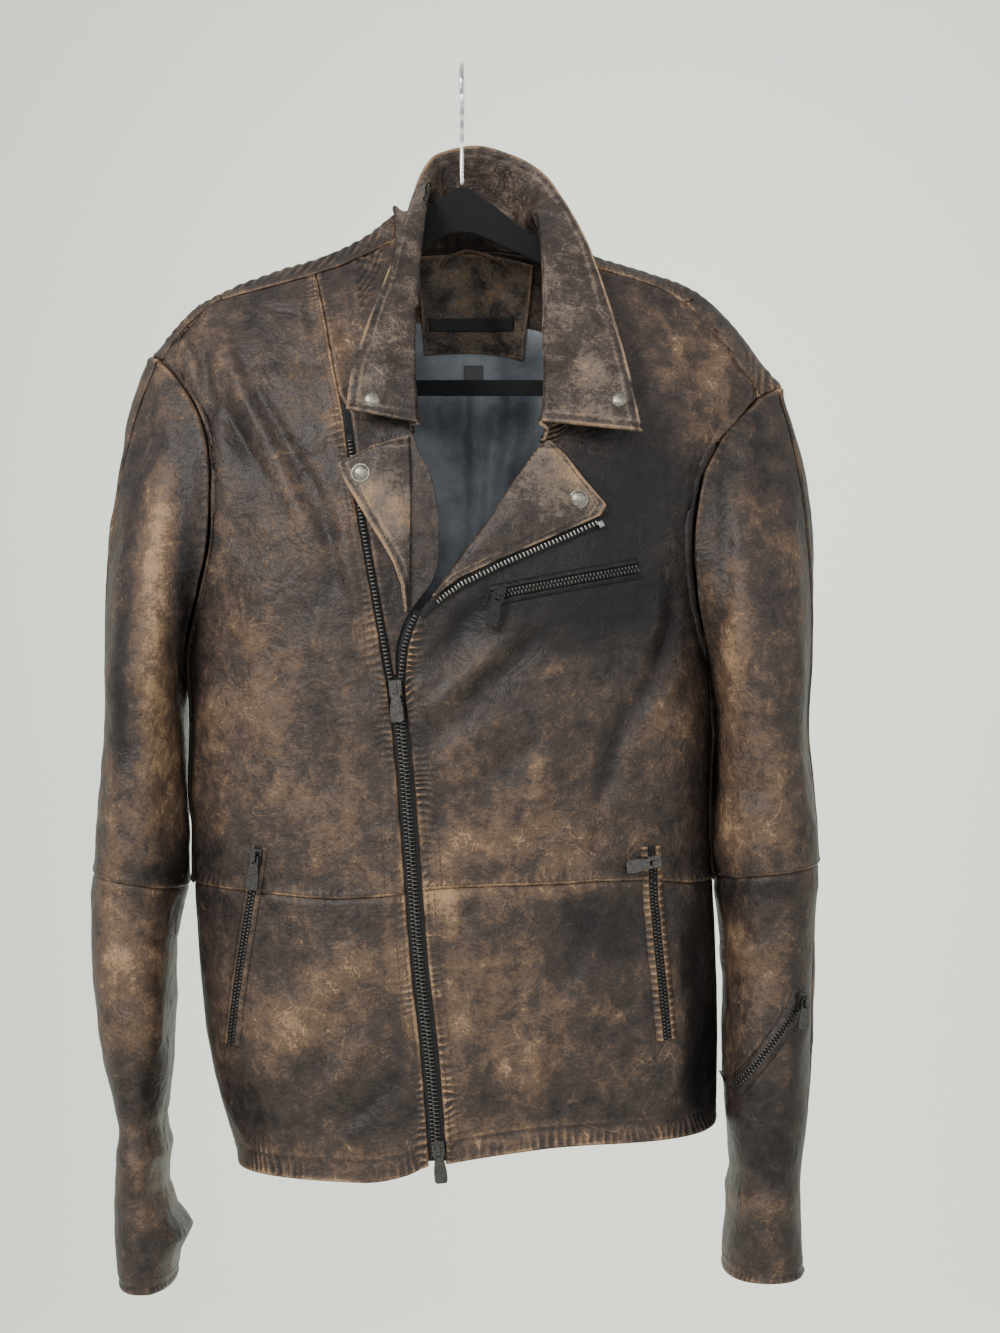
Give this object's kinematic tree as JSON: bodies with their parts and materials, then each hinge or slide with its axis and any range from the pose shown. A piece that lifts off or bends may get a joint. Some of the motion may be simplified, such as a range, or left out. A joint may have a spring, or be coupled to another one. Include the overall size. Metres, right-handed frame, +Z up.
{
  "type": "worn leather jacket on a hanger",
  "caption": "Worn hip-length biker jacket in distressed leather with an offset front zip, open lapels and a popped collar, hung on a slim flocked hanger.",
  "frame": {"origin": "the point of the hanger's hook that rests on the rail", "axes": "+Z up, fronts face -Y, the wearer's left is +X"},
  "size_m": [0.5263, 0.1973, 0.8892],
  "materials": {
    "leather": "distressed, dark brown with tan rubs",
    "zip_tape": "woven tape, black",
    "slider_metal": "aged dark nickel",
    "snap_metal": "aged dark nickel, domed",
    "hook_steel": "bright wire",
    "hanger_flock": "flocked, black",
    "lining_satin": "satin, dark blue-grey",
    "label_woven": "woven, black, blank",
    "care_tag_cloth": "printed-tag cloth, grey, blank"
  },
  "bodies": {
    "jacket": {"back_lining": "lining_satin", "back_lower": "leather", "back_upper": "leather", "care_tag": "care_tag_cloth", "chest_pocket_slider": "slider_metal", "chest_pocket_zip": "zip_tape", "collar": "leather", "forearm_slider": "slider_metal", "forearm_zip": "zip_tape", "hanger": "hanger_flock", "hanger_hook": "hook_steel", "hanging_loop": "label_woven", "lapel_zip_tape": "zip_tape", "left_collar_snap": "snap_metal", "left_front_lower": "leather", "left_front_upper": "leather", "left_lapel": "leather", "left_lapel_snap": "snap_metal", "left_pocket_slider": "slider_metal", "left_pocket_zip": "zip_tape", "left_shoulder_band": "leather", "left_sleeve_forearm_front": "leather", "left_sleeve_forearm_outer": "leather", "left_sleeve_upper_front": "leather", "left_sleeve_upper_outer": "leather", "left_zip_tape": "zip_tape", "main_bottom_slider": "slider_metal", "main_top_slider": "slider_metal", "neck_facing": "leather", "neck_label": "label_woven", "right_collar_snap": "snap_metal", "right_front_inner": "leather", "right_front_lower": "leather", "right_front_upper": "leather", "right_lapel": "leather", "right_lapel_snap": "snap_metal", "right_pocket_slider": "slider_metal", "right_pocket_zip": "zip_tape", "right_shoulder_band": "leather", "right_sleeve_forearm_front": "leather", "right_sleeve_forearm_outer": "leather", "right_sleeve_upper_front": "leather", "right_sleeve_upper_outer": "leather", "right_zip_tape": "zip_tape"},
    "main_top_pull": {"main_top_pull": "slider_metal"},
    "main_bottom_pull": {"main_bottom_pull": "slider_metal"},
    "right_pocket_pull": {"right_pocket_pull": "slider_metal"},
    "left_pocket_pull": {"left_pocket_pull": "slider_metal"},
    "chest_pocket_pull": {"chest_pocket_pull": "slider_metal"},
    "forearm_pull": {"forearm_pull": "slider_metal"}
  },
  "joints": [
    {"name": "main_top_pull_hinge", "type": "hinge", "parent": "jacket", "child": "main_top_pull", "pos_m": [-0.0447, -0.1028, -0.455], "axis": [-0.9961, 0.0534, -0.0697], "range_deg": [0, 165]},
    {"name": "main_bottom_pull_hinge", "type": "hinge", "parent": "jacket", "child": "main_bottom_pull", "pos_m": [-0.01486, -0.10027, -0.77509], "axis": [-0.9949, 0.017, -0.0995], "range_deg": [0, 165]},
    {"name": "right_pocket_pull_hinge", "type": "hinge", "parent": "jacket", "child": "right_pocket_pull", "pos_m": [-0.14354, -0.08514, -0.57306], "axis": [-0.9102, 0.3995, 0.1092], "range_deg": [0, 165]},
    {"name": "left_pocket_pull_hinge", "type": "hinge", "parent": "jacket", "child": "left_pocket_pull", "pos_m": [0.1368, -0.08383, -0.57695], "axis": [-0.119, -0.0503, 0.9916], "range_deg": [0, 165]},
    {"name": "chest_pocket_pull_hinge", "type": "hinge", "parent": "jacket", "child": "chest_pocket_pull", "pos_m": [0.0272, -0.10583, -0.38986], "axis": [-0.9698, -0.0255, 0.2425], "range_deg": [0, 165]},
    {"name": "forearm_pull_hinge", "type": "hinge", "parent": "jacket", "child": "forearm_pull", "pos_m": [0.24326, -0.06954, -0.67631], "axis": [-0.8067, -0.5854, 0.0807], "range_deg": [0, 150]}
  ]
}
